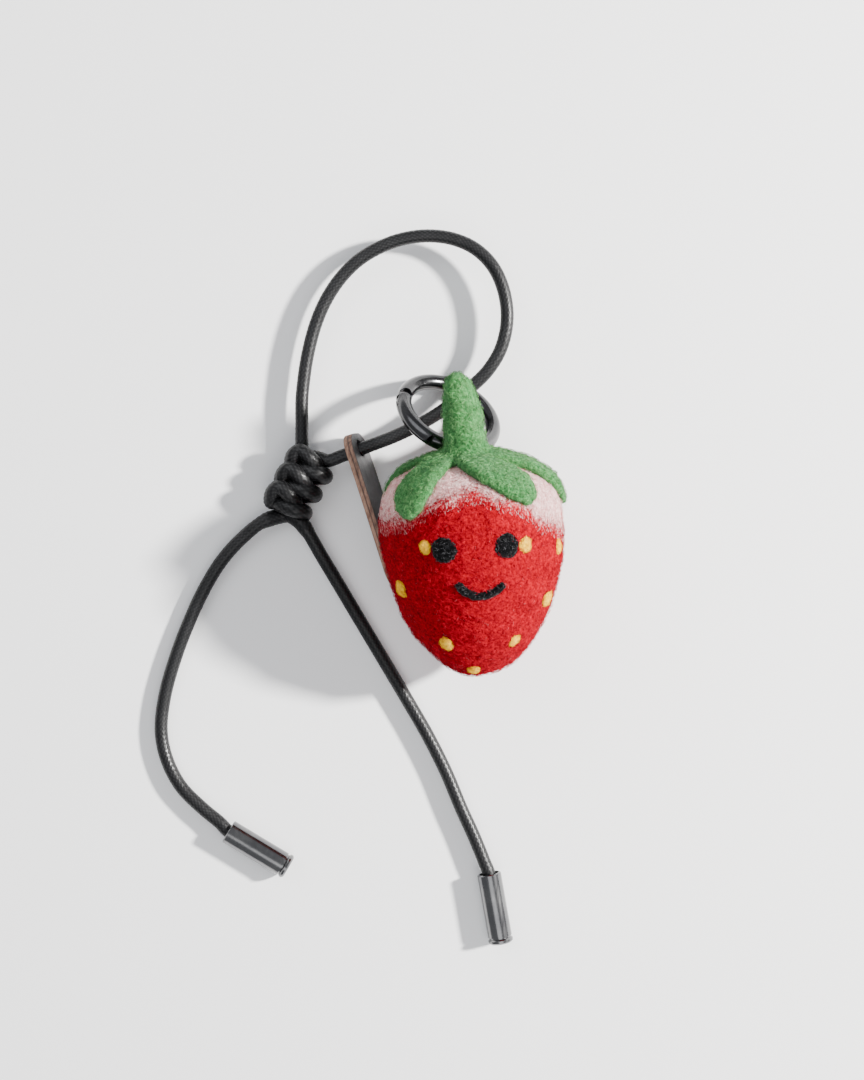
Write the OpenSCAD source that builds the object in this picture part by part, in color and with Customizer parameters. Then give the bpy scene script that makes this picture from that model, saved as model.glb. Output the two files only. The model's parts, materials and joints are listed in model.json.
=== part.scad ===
// Needle-felted strawberry keychain: a felt charm on a spring-gate ring, hung on a knotted round cord
// with two metal end caps and a small two-ply leather tag. It lies on its back, all sizes in millimetres.
// X runs to the right of the charm, Y towards its stem and Z up from the surface that it lies on.

/* [Cord] */
// Diameter of the round braided cord
cord_d = 3; // [2.6:0.1:3.1]
// Sides of the plain tube that stands for the cord
cord_sides = 8; // [8:1:12]
// Length of the snake knot along its own axis
knot_len = 17.6; // [16:0.2:19]
// Radius of the knot's bulges
knot_r = 4.3; // [3.8:0.1:4.4]
// Depth of the waists between the bulges
knot_waist = 0.7; // [0.2:0.1:1.2]

/* [End caps] */
// Length of an end cap with its plug
cap_len = 16; // [14:0.2:18]
// Outer radius of an end cap
cap_r = 2.75; // [2.6:0.05:2.75]
// Radius of the open mouth around the cord
cap_mouth_r = 2.3; // [2.1:0.1:2.5]
// Depth of the open mouth
cap_mouth_depth = 2.6; // [2:0.2:4]
// Radius of the neck that holds the cord's melted end
cap_neck_r = 1.62; // [1.6:0.01:1.8]
// Thickness of the plug's rim
cap_rim = 1.2; // [0.8:0.1:1.6]

/* [Ring] */
// Radius of the ring's centre line
ring_r = 10.7; // [10.5:0.1:10.9]
// Radius of the ring's round section
wire_r = 1.75; // [1.6:0.05:1.85]
// Tilt of the ring out of the surface
ring_tilt = 50; // [49:0.5:51]
// Turn of the ring's level diameter about Z
ring_yaw = -28; // [-30:0.5:-26]

/* [Gate] */
// Radius of the hinge pin
pin_r = 0.5; // [0.4:0.05:0.6]
// Running clearance around the hinge pin
pin_gap = 0.05; // [0.03:0.01:0.1]
// Width of the slot in the gate's fork
fork_slot = 2; // [1.8:0.1:2.2]
// Clearance at the gate's tip and beside its tongue
gate_gap = 0.12; // [0.1:0.01:0.2]
// Length of the lip that stops the gate from swinging outwards
lip_len = 1; // [0.8:0.1:1.4]

/* [Berry] */
// Radius of the berry at its widest
berry_r = 19.9; // [19:0.1:20]
// Length from the widest line down to the tip
berry_below = 32; // [30:0.5:33]
// Length from the widest line up to the calyx
berry_above = 16.5; // [16:0.1:16.6]
// Thickness of the coloured wool over the plain core
felt_skin = 5; // [3:0.5:7]
// Height of the pink wool's lower edge above the widest line
pink_edge = 10; // [8:0.5:12]
// Angle that the berry's stem end is raised by
berry_tilt = 12; // [12:0.5:13]
// Angle that the stem leans to the left
berry_lean = 3.5; // [3:0.5:4]

/* [Calyx] */
// Thickness of the felt leaves
leaf_t = 1.5; // [1:0.1:1.6]
// Radius of the disc at the middle of the leaves
hub_r = 5.1; // [5:0.1:6]
// Angle that the stem leans further than the berry
stem_lean = 3; // [0:0.5:5]
// Length of the stem above the leaves
stem_len = 17.2; // [16:0.2:19]
// Radius of the stem near its rounded tip
stem_r = 4.2; // [3.8:0.1:4.3]

/* [Face and seeds] */
// Radius of an eye
eye_r = 2.7; // [2.2:0.1:3]
// Half the distance between the eyes, as an angle about the berry's axis
eye_angle = 19.2; // [17:0.2:21]
// Radius of the smile's arc
smile_r = 6.3; // [5.5:0.1:7]
// Radius of the smile's round strand
smile_w = 0.95; // [0.8:0.05:1.1]
// Radius of a seed
seed_r = 1.45; // [1.2:0.05:1.6]

/* [Screw eye] */
// Radius of the eye's centre line
loop_r = 2.75; // [2.65:0.05:2.8]
// Radius of the eye's wire
loop_wire = 0.5; // [0.4:0.05:0.6]
// Length of the threaded shank inside the berry
shank_len = 12; // [8:0.5:13]

/* [Leather tag] */
// Length of the tag
tag_len = 36; // [34:0.5:37]
// Width of the tag
tag_w = 11; // [10:0.5:11]
// Thickness of one ply of leather
ply_t = 1; // [0.8:0.1:1.1]
// Radius of the tag's corners
tag_corner = 4; // [3:0.5:5]
// Radius of the hole that the cord runs through
tag_hole_r = 2; // [1.8:0.1:2.2]
// Distance from the hole's centre to the tag's end
tag_hole_in = 3.5; // [3.4:0.1:4]

/* [Hidden] */
$fn = 48;

// The origin is under the middle of the berry, the ring and the tag.
origin_shift = [-0.25, 0.52, 0.04];

// Places of the sub-assemblies
berry_at = [3.6, -1.7, 20.35];
ring_at = [-1.3, 24.6, 10.3];
tag_at = [-21.9, 17.2, 5.6];
knot_top = [-34.9, 18.2, 4.5];
knot_turn = -11;
cap_left_at = [-51.5, -70, 2.9];
cap_left_turn = -31;
cap_right_at = [8, -79.6, 2.9];
cap_right_turn = -80;

// Route of the cord's loop, from the top of the knot round to the knot's right side
loop_route = [
    [-34.7, 15.8, 4.5], [-34.6, 21.5, 4.4], [-34.6, 28.3, 4.4], [-34.1, 33.5, 4.4], [-33.2, 39, 4.5],
    [-31.5, 45.4, 4.6], [-29.2, 50.8, 4.8], [-25.9, 55.8, 5.1], [-21.9, 59.8, 5.4], [-17.1, 62.7, 5.9],
    [-11.8, 64.6, 6.3], [-6, 65.3, 6.6], [-0.3, 64.6, 6.7], [4.7, 62.4, 6.7], [8.6, 58.6, 6.7],
    [11.1, 53.3, 6.6], [12, 46.7, 6.5], [10.7, 40.1, 6.3], [7.5, 34.7, 6.2], [2.5, 30, 6.1],
    [-2.7, 25.8, 6], [-7.7, 22.8, 5.8], [-13.8, 19.9, 5.6], [-20.2, 17.5, 5.5], [-25.2, 15.7, 5.2],
    [-28.7, 14.5, 4.8], [-32.3, 12.9, 4.6]
];
// Routes of the two tails, from inside the knot to their end caps
tail_left_route = [
    [-40.3, 3.1, 3.8], [-43.5, 0.7, 3.4], [-48.2, -2.9, 2.8], [-53, -8.1, 2.3], [-57.2, -14.9, 2],
    [-60.6, -22.2, 1.8], [-63.7, -30.4, 1.8], [-66.2, -39.4, 1.8], [-67, -47.2, 1.8], [-65.7, -53.7, 1.9],
    [-62.4, -59.9, 2.2], [-57.2, -65, 2.6], [-53.4, -68.1, 2.8]
];
tail_right_route = [
    [-37.1, 4, 4.4], [-34.8, 0.4, 4.2], [-29.6, -8.1, 3.6], [-22.6, -19.9, 3.1], [-15.7, -31.5, 2.8],
    [-10.5, -40.3, 2.6], [-5.9, -48.3, 2.6], [-1.8, -56.5, 2.6], [1.6, -64.6, 2.7], [4.6, -71.2, 2.8],
    [7, -77.1, 2.9]
];

// The berry's outline, and its radius at a height above the widest line
side_power_below = 1.7;
side_power_above = 3;
outline_steps = 14;
function side(height) = height < 0
    ? berry_r * sqrt(1 - pow(-height / berry_below, side_power_below))
    : berry_r * sqrt(1 - pow(height / berry_above, side_power_above));
function half_outline(radius, length, power) = [
    for (i = [0:outline_steps])
        let (turn = 90 * i / outline_steps) [radius * cos(turn), length * pow(sin(turn), 2 / power)]
];
function flipped(points) = [for (i = [len(points) - 1:-1:1]) [points[i][0], -points[i][1]]];
function outline(grow) = concat(
    flipped(half_outline(berry_r + grow, berry_below + grow, side_power_below)),
    half_outline(berry_r + grow, berry_above + grow, side_power_above)
);

// Leaves: angle about the berry's axis from the face, height of the tip, width, and the angles it ends at
leaf_front_left_set = [-44, 5.6, 9, -74, -4];
leaf_front_right_set = [36, 7, 10.8, -4, 66];
leaf_right_set = [94, 6, 9, 66, 120];
leaf_back_set = [146, 5, 9, 120, 192];
leaf_left_set = [-104, 3, 9, -130, -74];
leaf_root_w = 7;
stem_sink = 0.8;

// Eyes, smile and seeds: angle about the berry's axis from the face, and height above the widest line
eye_height = 0.4;
eye_middle = 0.6;
smile_set = [2, -3.2];
smile_span = 104;
face_rise = 0.6;
face_sink = 1.3;
front_seeds = [
    [-31, 0.9], [32.5, 0], [-59, -9.6], [62, -14], [-30, -21.7], [33, -21.8], [-10, -29], [67, -2.9]
];
back_seeds = [
    [115, -8], [150, 2], [184, 7], [-130, 3], [-98, -19], [105, -21], [-140, -14], [160, -18], [-172, -25]
];
seed_sink = 0.75;

// Ring, gate and screw eye: angles about the ring's centre
pin_angle = -165;
heel_angle = pin_angle + 90;
gate_tip_angle = -83;
frame_past_tip = 8;
gate_past_tip = 4;
eye_at_angle = -36;
eye_shank_turn = -28;
eye_seat_r = 6.4;
ring_dent = [1.5, 9, 14.6];
ring_dent_r = 6;
tongue_r = 1.45;
cup_r = wire_r + 0.25;
cheek_cut = 3;
pin_len = 3.3;
tongue_t = fork_slot - 2 * gate_gap;
slot_r = wire_r + 0.25;
fork_r = wire_r - 0.03;
close_r = 2 * ring_r * sin((gate_tip_angle - pin_angle) / 2);
lip_in = 0.8;
spring_wire = 0.13;
spring_r = pin_r + pin_gap + 2 * spring_wire;
spring_slot_t = 0.64;
coil_room = spring_r + spring_wire + 0.08;
spring_leg = 2.9;
spring_room = spring_leg + 0.6;
heel_room = spring_leg + 0.1;
coil_slot_len = 3;
tip_block = 9;

// End caps
plug_spigot = 3;
bead_len = 3;
groove_depth = 0.3;
groove_len = 0.35;
neck_len = 1.4;
bead_from = cap_mouth_depth + neck_len + 0.2;
bead_r = 2.1;
cap_wall_end = cap_len - cap_rim;
mouth_bevel = 0.2;
rim_r = cap_r + 0.1;
rim_round = 0.35;

// Tag
tag_turn = 16;
tag_lean = 16;

// Unit vector, and the direction of travel at a point of a route
function unit(v) = v / norm(v);
function heading(route, i) = unit(
    route[min(i + 1, len(route) - 1)] - route[max(i - 1, 0)]
);
function ring_points(route, i, radius) =
    let (ahead = heading(route, i), across = unit(cross([0, 0, 1], ahead)), above = cross(ahead, across))
    [for (k = [0:cord_sides - 1])
        let (turn = 360 * k / cord_sides + 180 / cord_sides)
        route[i] + radius * (cos(turn) * across + sin(turn) * above)];

// A round cord swept along a route as one closed solid
module swept_cord(route) {
    radius = cord_d / 2;
    last = len(route) - 1;
    points = [for (i = [0:last], p = ring_points(route, i, radius)) p];
    sides = [
        for (i = [0:last - 1], k = [0:cord_sides - 1])
            let (next = (k + 1) % cord_sides, here = i * cord_sides, there = here + cord_sides)
            [here + k, there + k, there + next, here + next]
    ];
    start_face = [for (k = [0:cord_sides - 1]) k];
    end_face = [for (k = [cord_sides - 1:-1:0]) last * cord_sides + k];
    polyhedron(points, concat([start_face], sides, [end_face]));
}

module placed() translate(-origin_shift) children();

// Frames of the sub-assemblies: each puts its children's own Z along the piece
module in_berry() placed() translate(berry_at) rotate([0, 0, berry_lean])
    rotate([berry_tilt - 90, 0, 0]) children();
module in_ring() placed() translate(ring_at) rotate([0, 0, ring_yaw]) rotate([-ring_tilt, 0, 0]) children();
module in_cap(at, turn) placed() translate(at) rotate([0, 0, turn]) rotate([0, 90, 0]) children();
module in_tag() placed() translate(tag_at) rotate([0, 0, tag_turn]) rotate([0, 90 - tag_lean, 0]) children();

// Cord

function along_cap(at, turn, distance) = at + distance * [cos(turn), sin(turn), 0];

module cord_loop() color("#26262a") placed() swept_cord(loop_route);

module cord_tail_left() color("#26262a") placed()
    swept_cord(concat(tail_left_route, [cap_left_at, along_cap(cap_left_at, cap_left_turn, bead_from)]));

module cord_tail_right() color("#26262a") placed()
    swept_cord(concat(tail_right_route, [cap_right_at, along_cap(cap_right_at, cap_right_turn, bead_from)]));

// The knot is a barrel with three bulges, two strands wide
module cord_knot() {
    steps = 24;
    spread = 0.9;
    bulges = 3;
    barrel = [
        for (i = [0:steps])
            let (share = i / steps, end_round = sqrt(1 - pow(abs(2 * share - 1), 8)))
            [end_round * (knot_r - knot_waist * (1 + cos(360 * bulges * share)) / 2), -knot_len * share]
    ];
    color("#26262a") placed() translate(knot_top) rotate([0, 0, knot_turn]) rotate([-90, 0, 0])
        for (side = [-1, 1])
            translate([side * spread, 0, 0]) rotate_extrude()
                polygon(concat([[0, -knot_len], [0, 0]], barrel));
}

module cord_bead() color("#1c1c20") translate([0, 0, bead_from]) cylinder(r = bead_r, h = bead_len);
module cord_bead_left() in_cap(cap_left_at, cap_left_turn) cord_bead();
module cord_bead_right() in_cap(cap_right_at, cap_right_turn) cord_bead();

// End caps

module cap_tube() {
    neck_from = cap_mouth_depth;
    neck_to = neck_from + neck_len;
    color("#4a4b50") rotate_extrude() polygon([
        [cap_mouth_r, 0], [cap_r - mouth_bevel, 0], [cap_r, mouth_bevel],
        [cap_r, cap_wall_end - groove_len], [cap_r - groove_depth, cap_wall_end - groove_len],
        [cap_r - groove_depth, cap_wall_end],
        [cap_mouth_r, cap_wall_end], [cap_mouth_r, neck_to], [cap_neck_r, neck_to],
        [cap_neck_r, neck_from], [cap_mouth_r, neck_from]
    ]);
}

module cap_plug() {
    color("#4a4b50") rotate_extrude() polygon([
        [0, cap_wall_end - plug_spigot], [cap_mouth_r, cap_wall_end - plug_spigot],
        [cap_mouth_r, cap_wall_end],
        [rim_r - rim_round, cap_wall_end], [rim_r, cap_wall_end + rim_round],
        [rim_r, cap_len - rim_round], [rim_r - rim_round, cap_len], [0, cap_len]
    ]);
}

module cap_left_tube() in_cap(cap_left_at, cap_left_turn) cap_tube();
module cap_left_plug() in_cap(cap_left_at, cap_left_turn) cap_plug();
module cap_right_tube() in_cap(cap_right_at, cap_right_turn) cap_tube();
module cap_right_plug() in_cap(cap_right_at, cap_right_turn) cap_plug();

// Ring and gate, drawn about the ring's centre with the ring's normal along Z

module ring_arc(from, to) rotate([0, 0, from])
    rotate_extrude(angle = to - from) translate([ring_r, 0]) circle(wire_r);
module at_pin() rotate([0, 0, pin_angle]) translate([ring_r, 0, 0]) rotate([0, 0, -pin_angle]) children();
module at_tip() rotate([0, 0, gate_tip_angle]) translate([ring_r, 0, 0]) children();
module at_eye() in_ring() rotate([0, 0, eye_at_angle]) translate([ring_r, 0, 0]) children();
module disc(radius, height) cylinder(r = radius, h = height, center = true);

// The frame ends in a tongue around the pin, inside a round cup that the gate's end turns in
module ring_frame() {
    color("#3a3a40") in_ring() difference() {
        union() {
            ring_arc(gate_tip_angle - frame_past_tip, pin_angle + 360);
            at_pin() disc(tongue_r, tongue_t);
        }
        for (side = [-1, 1])
            at_pin() translate([0, 0, side * (tongue_t + cheek_cut) / 2]) disc(cup_r, cheek_cut);
        at_pin() disc(pin_r, 2 * wire_r);
        at_pin() disc(coil_room, spring_slot_t);
        at_pin() rotate([0, 0, heel_angle]) translate([0, -coil_room, -spring_slot_t / 2])
            cube([coil_slot_len, 2 * coil_room, spring_slot_t]);
        intersection() {
            at_pin() disc(close_r + gate_gap, 2 * tip_block);
            disc(ring_r + lip_in + gate_gap, 2 * tip_block);
            at_tip() cube(tip_block, center = true);
        }
        intersection() {
            at_pin() disc(close_r - lip_len + gate_gap, 2 * tip_block);
            at_tip() cube(tip_block, center = true);
        }
        at_pin() rotate([0, 0, heel_angle + 180]) translate([0, -spring_r, 0]) rotate([0, 90, 0])
            cylinder(r = 1.5 * spring_wire, h = heel_room);
    }
}

module gate_pin() color("#55565c") in_ring() at_pin() disc(pin_r, pin_len);

// Torsion spring on the pin: two turns, a leg into the frame's heel and a leg in the gate's slot
module gate_spring() {
    leg_r = 0.8 * spring_wire;
    color("#8a8c92") in_ring() at_pin() rotate([0, 0, heel_angle]) {
        rotate_extrude() translate([spring_r - spring_wire, -2 * spring_wire])
            square([2 * spring_wire, 4 * spring_wire]);
        translate([-spring_leg, spring_r, 0]) rotate([0, 90, 0]) cylinder(r = leg_r, h = spring_leg);
        translate([0, -spring_r, 0]) rotate([0, 90, 0]) cylinder(r = leg_r, h = spring_leg);
    }
}

// The gate's end is a round fork over the tongue
module gate_arm() {
    color("#3a3a40") in_ring() difference() {
        union() {
            intersection() {
                ring_arc(pin_angle, gate_tip_angle + gate_past_tip);
                at_pin() disc(close_r, 2 * tip_block);
            }
            at_pin() sphere(fork_r);
        }
        at_pin() disc(slot_r, fork_slot);
        at_pin() disc(pin_r + pin_gap, 2 * wire_r);
        at_pin() disc(spring_room, spring_slot_t);
        difference() {
            at_tip() cube(tip_block, center = true);
            at_pin() disc(close_r - lip_len, 3 * tip_block);
            disc(ring_r + lip_in, 3 * tip_block);
        }
    }
}

module screw_eye() color("#3a3a40") at_eye() rotate([90, 0, 0]) rotate([0, 0, eye_shank_turn]) {
    rotate_extrude() translate([loop_r, 0]) circle(loop_wire);
    translate([loop_r, 0, 0]) rotate([0, 90, 0]) cylinder(r = loop_wire, h = shank_len);
}

// Berry, drawn about the middle of its widest line with its axis along Z and its face towards -Y

module egg(grow) rotate_extrude() polygon(outline(grow));

module wool_core() color("#e9e2d6") in_berry() egg(-felt_skin);

module above_pink_edge() translate([0, 0, pink_edge]) cylinder(r = 2 * berry_r, h = berry_above);

module red_felt_body() color("#cf1420") in_berry() difference() {
    egg(0);
    egg(-felt_skin);
    above_pink_edge();
}

module pink_felt_cap() color("#ecccc8") difference() {
    in_berry() intersection() {
        egg(0);
        above_pink_edge();
    }
    in_berry() egg(-felt_skin);
    in_berry() translate(ring_dent) cylinder(r = ring_dent_r, h = berry_above);
}

// The room around the screw eye that the leaves and the stem leave free for the ring
module eye_seat() at_eye() sphere(eye_seat_r);

module calyx_hub() color("#3f8a4c") difference() {
    in_berry() intersection() {
        difference() {
            egg(leaf_t);
            egg(0);
        }
        cylinder(r = hub_r, h = 2 * berry_above);
    }
    eye_seat();
}

// The stem flares at its foot and ends in a dome
module stem() {
    foot_r = hub_r - 0.6;
    foot = berry_above + leaf_t;
    flare = 4;
    color("#3f8a4c") difference() {
        in_berry() translate([0, 0, foot]) rotate([0, -stem_lean, 0]) {
            translate([0, 0, -stem_sink]) cylinder(r1 = foot_r, r2 = stem_r, h = flare);
            translate([0, 0, flare - stem_sink])
                cylinder(r = stem_r, h = stem_len + stem_sink - flare - stem_r);
            translate([0, 0, stem_len - stem_r]) sphere(stem_r);
        }
        eye_seat();
    }
}

// A leaf is a strip of a shell over the berry, round at its tip and narrow at its root
module leaf(set) {
    tip_r = set[2] / 2;
    root_height = 2 * berry_above;
    color("#4a9a58") difference() {
        leaf_strip(set, tip_r, root_height);
        eye_seat();
    }
}

module leaf_strip(set, tip_r, root_height) {
    in_berry() intersection() {
        difference() {
            egg(leaf_t);
            egg(0);
            cylinder(r = hub_r, h = 2 * berry_above);
        }
        rotate([0, 0, set[3] - 90]) rotate_extrude(angle = set[4] - set[3]) square(2 * berry_r);
        rotate([0, 0, set[0]]) rotate([90, 0, 0]) linear_extrude(2 * berry_r) union() {
            translate([0, set[1] + tip_r]) circle(tip_r);
            polygon([
                [-tip_r, set[1] + tip_r], [tip_r, set[1] + tip_r],
                [leaf_root_w / 2, root_height], [-leaf_root_w / 2, root_height]
            ]);
        }
    }
}

module leaf_front_left() leaf(leaf_front_left_set);
module leaf_front_right() leaf(leaf_front_right_set);
module leaf_right() leaf(leaf_right_set);
module leaf_back() leaf(leaf_back_set);
module leaf_left() leaf(leaf_left_set);

// Puts its children on the berry's side, their own Z pointing outwards and Y towards the stem
module on_side(angle, height) rotate([0, 0, angle])
    translate([0, -side(height), height]) rotate([90, 0, 0]) children();

module felt_eye(angle) color("#161618") in_berry() on_side(angle, eye_height)
    translate([0, 0, -face_sink]) cylinder(r = eye_r, h = face_sink + face_rise);
module eye_left() felt_eye(eye_middle - eye_angle);
module eye_right() felt_eye(eye_middle + eye_angle);

module smile() color("#161618") in_berry() on_side(smile_set[0], smile_set[1])
    translate([0, 0, -smile_w]) rotate([0, 0, -90 - smile_span / 2])
        rotate_extrude(angle = smile_span) translate([smile_r, 0]) circle(smile_w);

module seeds(places) color("#f0c52e") in_berry()
    for (place = places)
        on_side(place[0], place[1]) translate([0, 0, -seed_sink]) sphere(seed_r);
module seeds_front() seeds(front_seeds);
module seeds_back() seeds(back_seeds);

// Leather tag: two plies glued back to back, standing on its long edge, the cord through its hole

module tag_ply(from) in_tag() translate([0, 0, from]) linear_extrude(ply_t) difference() {
    offset_x = tag_w / 2 - tag_corner;
    top = tag_hole_in - tag_corner;
    bottom = tag_hole_in - tag_len + tag_corner;
    union() {
        for (x = [-offset_x, offset_x], y = [bottom, top])
            translate([x, y]) circle(tag_corner);
        translate([-tag_w / 2, bottom]) square([tag_w, top - bottom]);
        translate([-offset_x, bottom - tag_corner]) square([2 * offset_x, tag_len]);
    }
    circle(tag_hole_r);
}
module tag_ply_right() color("#3b3a3c") tag_ply(0);
module tag_ply_left() color("#6b4334") tag_ply(-ply_t);

cord_loop();
cord_knot();
cord_tail_left();
cord_tail_right();
cord_bead_left();
cord_bead_right();
cap_left_tube();
cap_left_plug();
cap_right_tube();
cap_right_plug();
ring_frame();
gate_pin();
gate_spring();
gate_arm();
screw_eye();
wool_core();
red_felt_body();
pink_felt_cap();
calyx_hub();
stem();
leaf_front_left();
leaf_front_right();
leaf_right();
leaf_back();
leaf_left();
eye_left();
eye_right();
smile();
seeds_front();
seeds_back();
tag_ply_right();
tag_ply_left();
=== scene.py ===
"""Looks of the felt strawberry keychain: felt, fibres, braided cord, polished gunmetal and leather.

Lengths are in millimetres, in the frame that the CAD is packed in. They become metres when a mesh is made.
"""

import json
import math
import random

import bpy
from mathutils import Matrix, Vector, noise


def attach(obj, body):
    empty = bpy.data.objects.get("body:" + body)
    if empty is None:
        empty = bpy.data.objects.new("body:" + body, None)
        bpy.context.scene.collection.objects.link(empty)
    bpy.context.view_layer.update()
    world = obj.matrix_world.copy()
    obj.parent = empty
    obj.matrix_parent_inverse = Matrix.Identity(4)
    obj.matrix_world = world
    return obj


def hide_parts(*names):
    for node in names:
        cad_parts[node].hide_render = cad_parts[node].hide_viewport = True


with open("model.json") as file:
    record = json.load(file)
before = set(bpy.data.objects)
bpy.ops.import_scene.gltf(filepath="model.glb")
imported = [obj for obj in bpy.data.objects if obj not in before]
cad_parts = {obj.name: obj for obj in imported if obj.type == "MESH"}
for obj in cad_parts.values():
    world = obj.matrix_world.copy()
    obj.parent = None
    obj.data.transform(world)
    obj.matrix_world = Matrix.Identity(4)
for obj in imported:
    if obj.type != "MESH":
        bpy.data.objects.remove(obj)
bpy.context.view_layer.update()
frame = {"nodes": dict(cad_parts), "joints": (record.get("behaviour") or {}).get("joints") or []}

MM = 0.001
# The CAD frame's origin, from the point that the routes are measured from
SHIFT = Vector((-0.25, 0.52, 0.04))


def placed(x, y, z):
    return Vector((x, y, z)) - SHIFT


# ---------------------------------------------------------------- camera
CAMERA_HEIGHT = 400
CAMERA_AT = placed(-5, -3.5, CAMERA_HEIGHT)
PHOTO_HEIGHT = 248.4  # of the surface that the picture takes in

camera_data = bpy.data.cameras.new("camera")
camera_data.sensor_width = 36
camera_data.lens = camera_data.sensor_width * CAMERA_HEIGHT / PHOTO_HEIGHT
camera_data.clip_end = 10
camera = bpy.data.objects.new("camera", camera_data)
camera.location = CAMERA_AT * MM
bpy.context.scene.collection.objects.link(camera)
bpy.context.scene.camera = camera


# ---------------------------------------------------------------- meshes
def new_piece(name, points, faces, material):
    """A mesh object from points in millimetres."""
    mesh = bpy.data.meshes.new(name)
    mesh.from_pydata([tuple(Vector(p) * MM) for p in points], [], faces)
    mesh.update()
    piece = bpy.data.objects.new(name, mesh)
    bpy.context.scene.collection.objects.link(piece)
    mesh.materials.append(material)
    mesh.shade_smooth()
    return piece


def through(points, step):
    """A smooth curve through the points, as points about step apart."""
    padded = [2 * points[0] - points[1], *points, 2 * points[-1] - points[-2]]
    fine = []
    for i in range(1, len(padded) - 2):
        a, b, c, d = padded[i - 1 : i + 3]
        ta = 0
        tb = ta + max((b - a).length, 1e-6) ** 0.5
        tc = tb + max((c - b).length, 1e-6) ** 0.5
        td = tc + max((d - c).length, 1e-6) ** 0.5
        parts = max(4, int((c - b).length / step * 4))
        for k in range(parts):
            t = tb + (tc - tb) * k / parts
            ab = a * ((tb - t) / (tb - ta)) + b * ((t - ta) / (tb - ta))
            bc = b * ((tc - t) / (tc - tb)) + c * ((t - tb) / (tc - tb))
            cd = c * ((td - t) / (td - tc)) + d * ((t - tc) / (td - tc))
            abc = ab * ((tc - t) / (tc - ta)) + bc * ((t - ta) / (tc - ta))
            bcd = bc * ((td - t) / (td - tb)) + cd * ((t - tb) / (td - tb))
            fine.append(abc * ((tc - t) / (tc - tb)) + bcd * ((t - tb) / (tc - tb)))
    fine.append(padded[-2].copy())
    evenly = [fine[0]]
    total = sum((q - p).length for p, q in zip(fine, fine[1:]))
    count = max(2, round(total / step))
    gap = total / count
    gone = 0
    for p, q in zip(fine, fine[1:]):
        length = (q - p).length
        while length > 0 and gone + length >= gap * len(evenly) - 1e-9 and len(evenly) <= count:
            evenly.append(p.lerp(q, (gap * len(evenly) - gone) / length))
        gone += length
    if len(evenly) <= count:
        evenly.append(fine[-1])
    return evenly


def frames_along(path):
    """Tangent and two normals at each point, turned as little as possible from one to the next."""
    tangents = []
    for i in range(len(path)):
        tangents.append((path[min(i + 1, len(path) - 1)] - path[max(i - 1, 0)]).normalized())
    side = tangents[0].orthogonal().normalized()
    out = []
    for tangent in tangents:
        side = (side - tangent * side.dot(tangent)).normalized()
        out.append((tangent, side, tangent.cross(side)))
    return out


def ring_faces(sides, rings):
    """Faces between rings of points, ring after ring."""
    faces = []
    for j in range(rings - 1):
        for i in range(sides):
            n = (i + 1) % sides
            faces.append((j * sides + i, j * sides + n, (j + 1) * sides + n, (j + 1) * sides + i))
    return faces


def spindle_faces(sides, rings):
    """Faces of a closed form whose points are one end, then rings of points, then the other end."""
    faces = []
    top = 1 + sides * rings
    for i in range(sides):
        n = (i + 1) % sides
        faces.append((0, 1 + n, 1 + i))
        faces.append((top, top - sides + i, top - sides + n))
        for j in range(rings - 1):
            a = 1 + j * sides
            faces.append((a + i, a + n, a + sides + n, a + sides + i))
    return faces


def tube(path, sides, radius):
    """Points and faces of a closed tube; radius is a function of (index, angle)."""
    points = []
    for i, (p, (_, side, up)) in enumerate(zip(path, frames_along(path))):
        for k in range(sides):
            angle = 2 * math.pi * k / sides
            r = radius(i, angle)
            points.append(p + side * (r * math.cos(angle)) + up * (r * math.sin(angle)))
    faces = ring_faces(sides, len(path))
    last = (len(path) - 1) * sides
    faces.append(tuple(reversed(range(sides))))
    faces.append(tuple(last + k for k in range(sides)))
    return points, faces


def add_uv(piece, values):
    """A UV map with one value per vertex."""
    layer = piece.data.uv_layers.new(name="surface")
    for loop in piece.data.loops:
        layer.data[loop.index].uv = values[loop.vertex_index]


def add_weight(piece, name, values):
    """A float attribute with one value per vertex."""
    attribute = piece.data.attributes.new(name, "FLOAT", "POINT")
    for i, value in enumerate(values):
        attribute.data[i].value = value


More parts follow.
